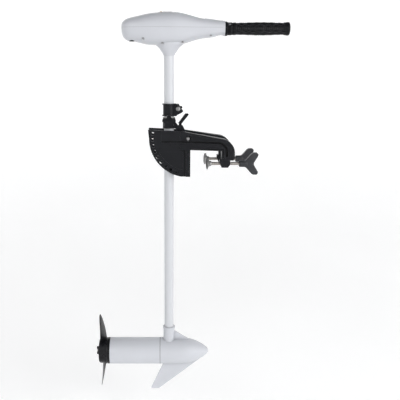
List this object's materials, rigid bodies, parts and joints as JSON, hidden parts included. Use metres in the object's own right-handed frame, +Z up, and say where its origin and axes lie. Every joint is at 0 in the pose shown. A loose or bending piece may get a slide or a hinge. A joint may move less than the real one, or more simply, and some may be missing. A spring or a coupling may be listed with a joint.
{
  "type": "trolling motor",
  "caption": "Transom-mount electric trolling motor: clamp bracket with tilt quadrant, shaft with depth collar, tiller head with twist grip, motor tube, skeg and propeller.",
  "frame": {"origin": "centre of the bracket's bearing face on the transom", "axes": "+X forward over the boat, normal to the bearing face; +Y left; +Z up along the shaft"},
  "size_m": [0.5675, 0.127, 1.1643],
  "materials": {
    "bracket_black": "satin glass-filled moulding",
    "knob_black": "moulded, fine grain",
    "rubber_black": "soft matte rubber",
    "propeller_black": "satin moulding",
    "stainless": "bright machined",
    "nylon": "natural nylon",
    "shaft_grey": "satin composite",
    "shell_white": "pearl gloss",
    "tube_white": "satin powder coat",
    "casting_white": "painted casting",
    "lead_red": "insulated leads",
    "badge_dark": "domed badge, no lettering",
    "panel_dark": "glossy panel",
    "button_white": "round push button",
    "switch_resin": "phenolic",
    "brass_part": "machined",
    "ferrite": "ceramic magnet",
    "core_steel": "laminated steel",
    "copper_part": "enamelled copper",
    "carbon": "carbon brush"
  },
  "bodies": {
    "bracket": {"bracket_side_right": "bracket_black", "bracket_side_left": "bracket_black", "transom_plate": "bracket_black", "bridge_plate": "bracket_black", "bracket_screws": "stainless", "pivot_bolt": "stainless", "pivot_nut": "stainless"},
    "swivel": {"swivel_bracket": "bracket_black", "shaft_bushing": "nylon", "pivot_bushings": "nylon", "lever_pin": "stainless"},
    "lever": {"tilt_lever": "bracket_black"},
    "pull_rod": {"lock_pull_rod": "stainless"},
    "pin_right": {"lock_pin_right": "stainless"},
    "pin_left": {"lock_pin_left": "stainless"},
    "tension": {"tension_knob": "knob_black", "tension_screw": "stainless"},
    "collar": {"depth_collar": "bracket_black", "collar_bolt": "stainless"},
    "collar_knob": {"depth_knob": "knob_black"},
    "shaft": {"shaft_tube": "shaft_grey", "motor_leads": "lead_red", "head_top_cover": "shell_white", "badge_plate": "badge_dark", "meter_panel": "panel_dark", "head_lower_housing": "shell_white", "head_screws": "stainless", "cable_gland": "rubber_black", "speed_switch_body": "switch_resin", "tiller_bushing": "knob_black", "motor_tube": "tube_white", "magnets": "ferrite", "nose_cone": "casting_white", "end_bell": "casting_white", "o_rings": "rubber_black", "through_bolts": "stainless", "motor_bearings": "stainless", "shaft_seal": "rubber_black", "brush_plate": "switch_resin", "brushes": "carbon"},
    "button": {"meter_button": "button_white"},
    "twist": {"switch_rotor": "brass_part", "drive_rod": "stainless", "speed_dial": "knob_black"},
    "grip": {"tiller_grip": "rubber_black", "extension_tube": "knob_black"},
    "rotor": {"armature_shaft": "stainless", "armature_core": "core_steel", "windings": "copper_part", "commutator": "copper_part", "propeller": "propeller_black", "drive_pin": "stainless", "prop_washer": "stainless", "prop_nut": "knob_black"},
    "pad_right": {"clamp_pad_right": "stainless"},
    "screw_right": {"clamp_screw_right": "stainless", "clamp_wing_right": "knob_black"},
    "pad_left": {"clamp_pad_left": "stainless"},
    "screw_left": {"clamp_screw_left": "stainless", "clamp_wing_left": "knob_black"}
  },
  "joints": [
    {"name": "tilt", "type": "hinge", "parent": "bracket", "child": "swivel", "pos_m": [-0.0064, 0, 0.0714], "axis": [0, 1, 0], "range_deg": [0, 78]},
    {"name": "lever_swing", "type": "hinge", "parent": "swivel", "child": "lever", "pos_m": [-0.029, 0, 0.101], "axis": [0, 1, 0], "range_deg": [0, 45]},
    {"name": "pull_rod_slide", "type": "slide", "parent": "swivel", "child": "pull_rod", "axis": [-0.0958, 0, -0.9954], "range_m": [0, 0.0081]},
    {"name": "pin_right_slide", "type": "slide", "parent": "swivel", "child": "pin_right", "axis": [0, -1, 0], "range_m": [0, 0.0071]},
    {"name": "pin_left_slide", "type": "slide", "parent": "swivel", "child": "pin_left", "axis": [0, 1, 0], "range_m": [0, 0.0071]},
    {"name": "tension_turn", "type": "hinge", "parent": "swivel", "child": "tension", "pos_m": [-0.0615, 0, 0.1195], "axis": [0, 1, 0], "range_deg": [-360, 180]},
    {"name": "steer", "type": "hinge", "parent": "swivel", "child": "collar", "pos_m": [-0.0615, 0, 0], "axis": [0, 0, 1], "continuous": true},
    {"name": "collar_knob_turn", "type": "hinge", "parent": "collar", "child": "collar_knob", "pos_m": [-0.0355, 0, 0.154], "axis": [0, 1, 0], "range_deg": [-360, 180]},
    {"name": "depth", "type": "slide", "parent": "collar", "child": "shaft", "axis": [0, 0, 1], "range_m": [-0.13, 0.4]},
    {"name": "button_press", "type": "slide", "parent": "shaft", "child": "button", "axis": [0, 0, 1], "range_m": [-0.001, 0], "stiffness_N_per_m": 400, "springref_m": 0.0005},
    {"name": "twist", "type": "hinge", "parent": "shaft", "child": "twist", "pos_m": [0, 0, 0.3755], "axis": [1, 0, 0], "range_deg": [-54, 90]},
    {"name": "grip_extend", "type": "slide", "parent": "twist", "child": "grip", "axis": [1, 0, 0], "range_m": [0, 0.15]},
    {"name": "propeller_spin", "type": "hinge", "parent": "shaft", "child": "rotor", "pos_m": [-0.2, 0, -0.6095], "axis": [1, 0, 0], "continuous": true},
    {"name": "pad_right_slide", "type": "slide", "parent": "bracket", "child": "pad_right", "axis": [1, 0, 0], "range_m": [-0.02476, 0.01801]},
    {"name": "screw_right_turn", "type": "hinge", "parent": "pad_right", "child": "screw_right", "pos_m": [0.05, -0.046, 0.0015], "axis": [1, 0, 0], "range_deg": [-5940, 4320]},
    {"name": "pad_left_slide", "type": "slide", "parent": "bracket", "child": "pad_left", "axis": [1, 0, 0], "range_m": [-0.02476, 0.01801]},
    {"name": "screw_left_turn", "type": "hinge", "parent": "pad_left", "child": "screw_left", "pos_m": [0.05, 0.046, 0.0015], "axis": [1, 0, 0], "range_deg": [-5940, 4320]}
  ],
  "couplings": [
    {"joint": "pull_rod_slide", "follows": "lever_swing", "m_per_rad": 0.010186},
    {"joint": "pin_right_slide", "follows": "lever_swing", "m_per_rad": 0.0089127},
    {"joint": "pin_left_slide", "follows": "lever_swing", "m_per_rad": 0.0089127},
    {"joint": "pad_right_slide", "follows": "screw_right_turn", "m_per_rad": 0.00023873},
    {"joint": "pad_left_slide", "follows": "screw_left_turn", "m_per_rad": 0.00023873}
  ]
}
